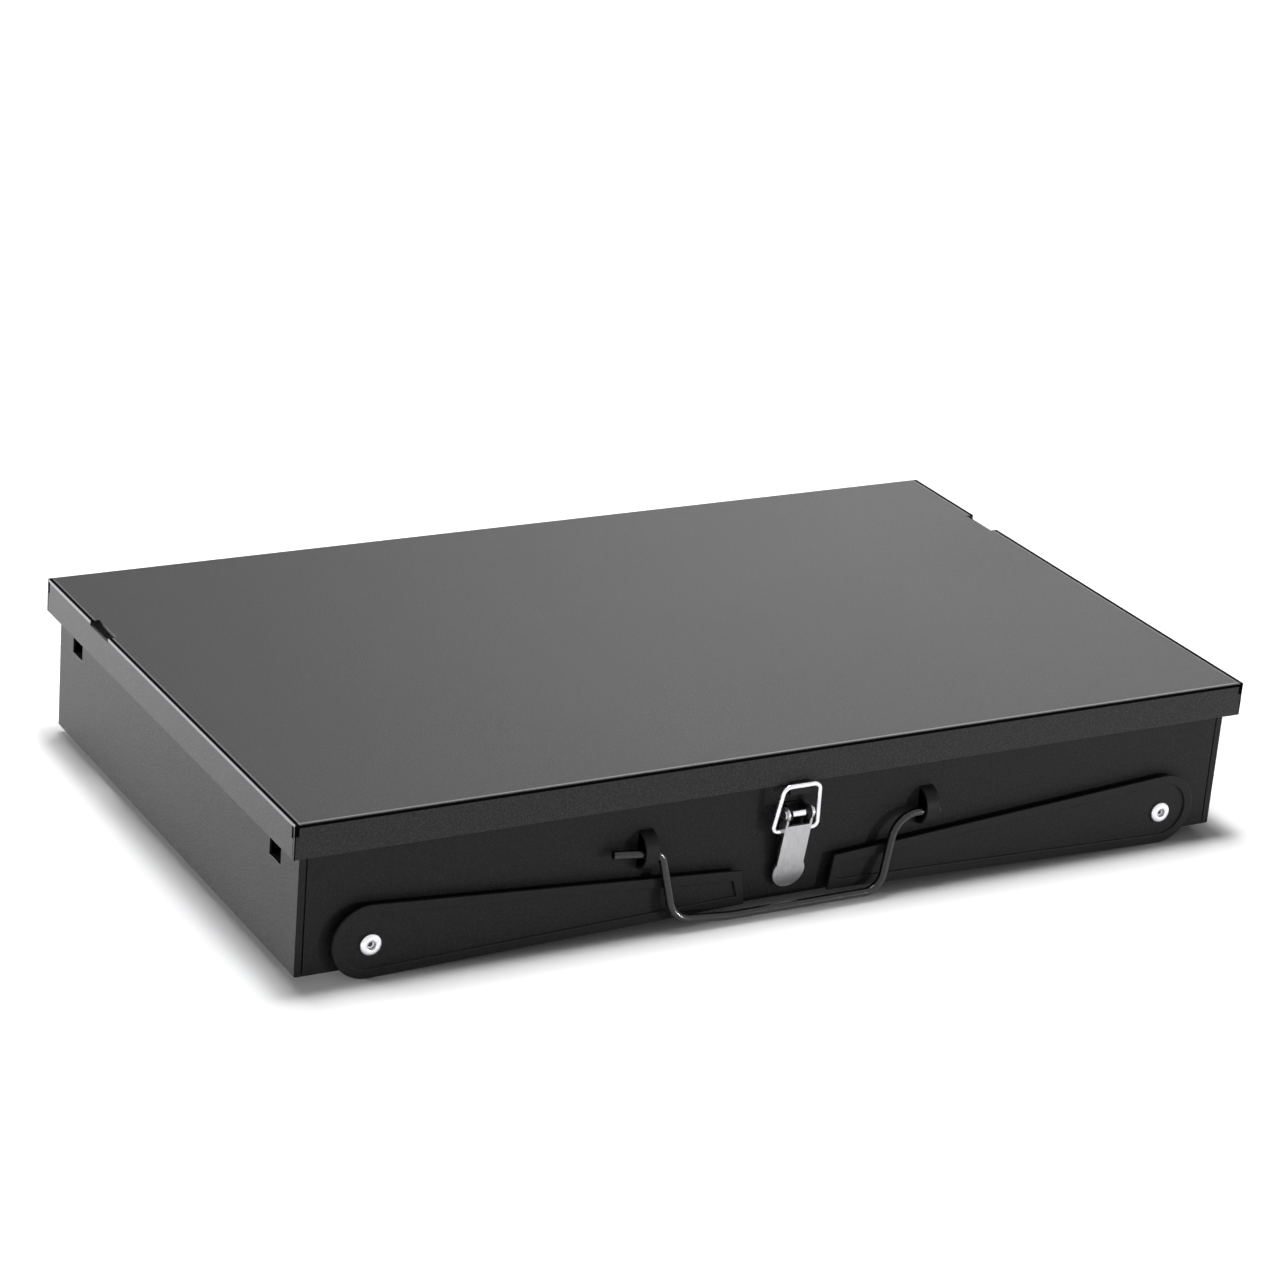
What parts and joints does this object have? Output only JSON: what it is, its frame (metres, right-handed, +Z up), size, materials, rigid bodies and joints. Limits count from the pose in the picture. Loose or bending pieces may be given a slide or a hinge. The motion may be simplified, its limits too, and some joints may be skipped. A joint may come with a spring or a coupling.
{
  "type": "folding briefcase barbecue",
  "caption": "Shallow rectangular sheet-steel case with a hinged overhanging lid, a draw latch, a wire carrying handle and flat riveted legs that fold out to stand it up as a charcoal grill.",
  "frame": {"origin": "on the surface that the closed case rests on, under the middle of its bounding box", "axes": "+X along the length, to the right when facing the latch; +Y from the latch side to the hinge side; +Z up through the lid"},
  "size_m": [0.4392, 0.2748, 0.07],
  "materials": {
    "black_paint": "satin black heat-resistant powder coat with a fine grain",
    "gloss_paint": "gloss black dip coat on bent wire",
    "satin_steel": "satin zinc-plated pressed steel",
    "zinc_steel": "bright zinc-plated steel",
    "chrome": "bright nickel plate",
    "grid_chrome": "chromed wire",
    "blackened_steel": "blackened pressed sheet"
  },
  "bodies": {
    "tray": {"tray_pan": "black_paint", "side_wall_left": "black_paint", "side_wall_right": "black_paint", "coal_grate": "blackened_steel", "cooking_grid": "grid_chrome", "leg_washer_front_left": "zinc_steel", "leg_washer_front_right": "zinc_steel", "leg_washer_rear_left": "zinc_steel", "leg_washer_rear_right": "zinc_steel", "leg_rivet_front_left": "chrome", "leg_rivet_front_right": "chrome", "leg_rivet_rear_left": "chrome", "leg_rivet_rear_right": "chrome", "hinge_leaf_lower_left": "zinc_steel", "hinge_leaf_lower_right": "zinc_steel", "hinge_lower_rivets": "zinc_steel", "hinge_pin_left": "zinc_steel", "hinge_pin_right": "zinc_steel", "latch_base": "black_paint", "latch_base_rivets": "black_paint", "latch_pin": "chrome"},
    "lid": {"lid_shell": "black_paint", "hinge_leaf_upper_left": "zinc_steel", "hinge_leaf_upper_right": "zinc_steel", "hinge_upper_rivets": "zinc_steel", "latch_keeper": "black_paint"},
    "handle": {"handle_wire": "gloss_paint"},
    "latch_lever": {"latch_lever": "satin_steel"},
    "latch_loop": {"latch_loop": "chrome"},
    "leg_front_left": {"leg_front_left": "black_paint"},
    "leg_front_right": {"leg_front_right": "black_paint"},
    "leg_rear_left": {"leg_rear_left": "black_paint"},
    "leg_rear_right": {"leg_rear_right": "black_paint"}
  },
  "joints": [
    {"name": "lid_hinge", "type": "hinge", "parent": "tray", "child": "lid", "pos_m": [0, 0.13242, 0.0525], "axis": [-1, 0, 0], "range_deg": [0, 110]},
    {"name": "handle_swing", "type": "hinge", "parent": "tray", "child": "handle", "pos_m": [0, -0.13008, 0.0337], "axis": [-1, 0, 0], "range_deg": [0, 100]},
    {"name": "latch_lever_turn", "type": "hinge", "parent": "tray", "child": "latch_lever", "pos_m": [0, -0.13138, 0.0426], "axis": [-1, 0, 0], "range_deg": [0, 120]},
    {"name": "latch_loop_turn", "type": "hinge", "parent": "latch_lever", "child": "latch_loop", "pos_m": [0, -0.12994, 0.03483], "axis": [-1, 0, 0], "range_deg": [-141, 0]},
    {"name": "leg_front_left_fold", "type": "hinge", "parent": "tray", "child": "leg_front_left", "pos_m": [-0.1852, -0.12858, 0.0143], "axis": [0, 1, 0], "range_deg": [0, 95]},
    {"name": "leg_front_right_fold", "type": "hinge", "parent": "tray", "child": "leg_front_right", "pos_m": [0.1852, -0.12858, 0.0143], "axis": [0, -1, 0], "range_deg": [0, 95]},
    {"name": "leg_rear_left_fold", "type": "hinge", "parent": "tray", "child": "leg_rear_left", "pos_m": [-0.1852, 0.12842, 0.0143], "axis": [0, 1, 0], "range_deg": [0, 95]},
    {"name": "leg_rear_right_fold", "type": "hinge", "parent": "tray", "child": "leg_rear_right", "pos_m": [0.1852, 0.12842, 0.0143], "axis": [0, -1, 0], "range_deg": [0, 95]}
  ],
  "couplings": [
    {"joint": "latch_loop_turn", "follows": "latch_lever_turn", "ratio": -1.1667}
  ]
}
